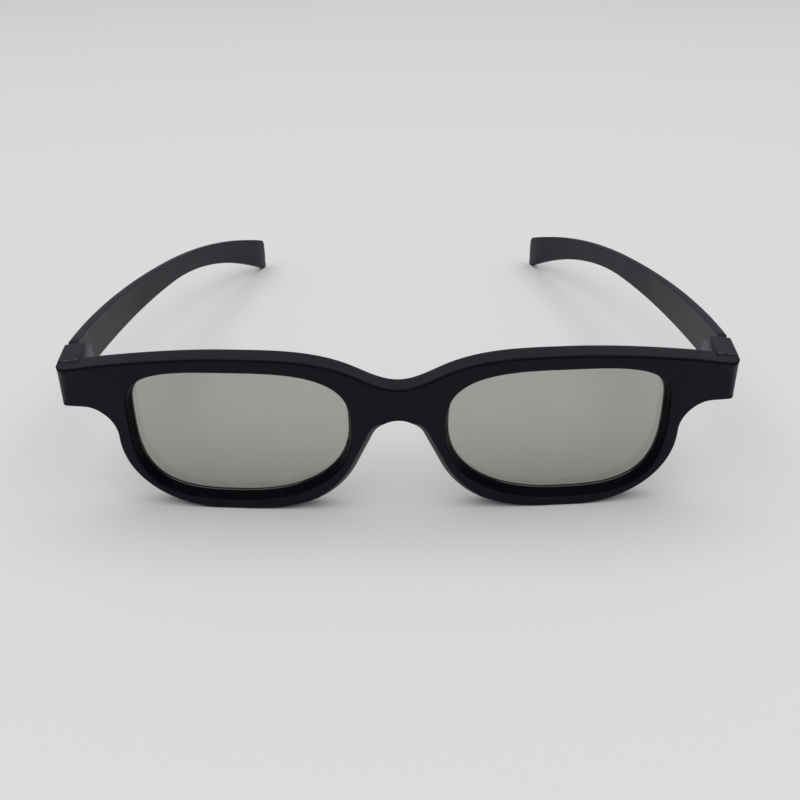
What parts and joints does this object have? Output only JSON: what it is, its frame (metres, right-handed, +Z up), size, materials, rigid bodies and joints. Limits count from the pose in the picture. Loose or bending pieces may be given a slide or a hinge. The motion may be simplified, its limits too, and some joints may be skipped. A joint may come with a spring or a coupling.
{
  "type": "3d glasses",
  "caption": "Black moulded glasses frame with grey polarised film lenses held in rear pockets, nose pads and fold-in temples on pin hinges; worn to watch stereoscopic film.",
  "frame": {"origin": "on the table, in the middle of the width and of the whole depth from the front of the bridge to the temple tips", "axes": "+Z up, -Y out of the front of the lenses, +Y along the open temples, +X to the wearer's left"},
  "size_m": [0.1542, 0.1548, 0.0385],
  "materials": {
    "frame_plastic": "satin moulded",
    "temple_plastic": "fine moulded grain",
    "retainer_plastic": "satin moulded",
    "cover_film": "clear film",
    "retarder_film": "clear film",
    "polariser_film": "grey film",
    "pin_steel": "drawn wire"
  },
  "bodies": {
    "front": {"front_frame": "frame_plastic", "right_front_film": "cover_film", "right_retarder_film": "retarder_film", "right_polariser_film": "polariser_film", "right_rear_film": "cover_film", "left_front_film": "cover_film", "left_retarder_film": "retarder_film", "left_polariser_film": "polariser_film", "left_rear_film": "cover_film", "right_lens_retainer": "retainer_plastic", "left_lens_retainer": "retainer_plastic", "right_hinge_pin": "pin_steel", "left_hinge_pin": "pin_steel"},
    "right_arm": {"right_temple": "temple_plastic"},
    "left_arm": {"left_temple": "temple_plastic"}
  },
  "joints": [
    {"name": "right_temple_fold", "type": "hinge", "parent": "front", "child": "right_arm", "pos_m": [-0.07239, -0.06533, 0.03015], "axis": [0, 0, -1], "range_deg": [0, 74]},
    {"name": "left_temple_fold", "type": "hinge", "parent": "front", "child": "left_arm", "pos_m": [0.07239, -0.06533, 0.03015], "axis": [0, 0, 1], "range_deg": [0, 81]}
  ]
}
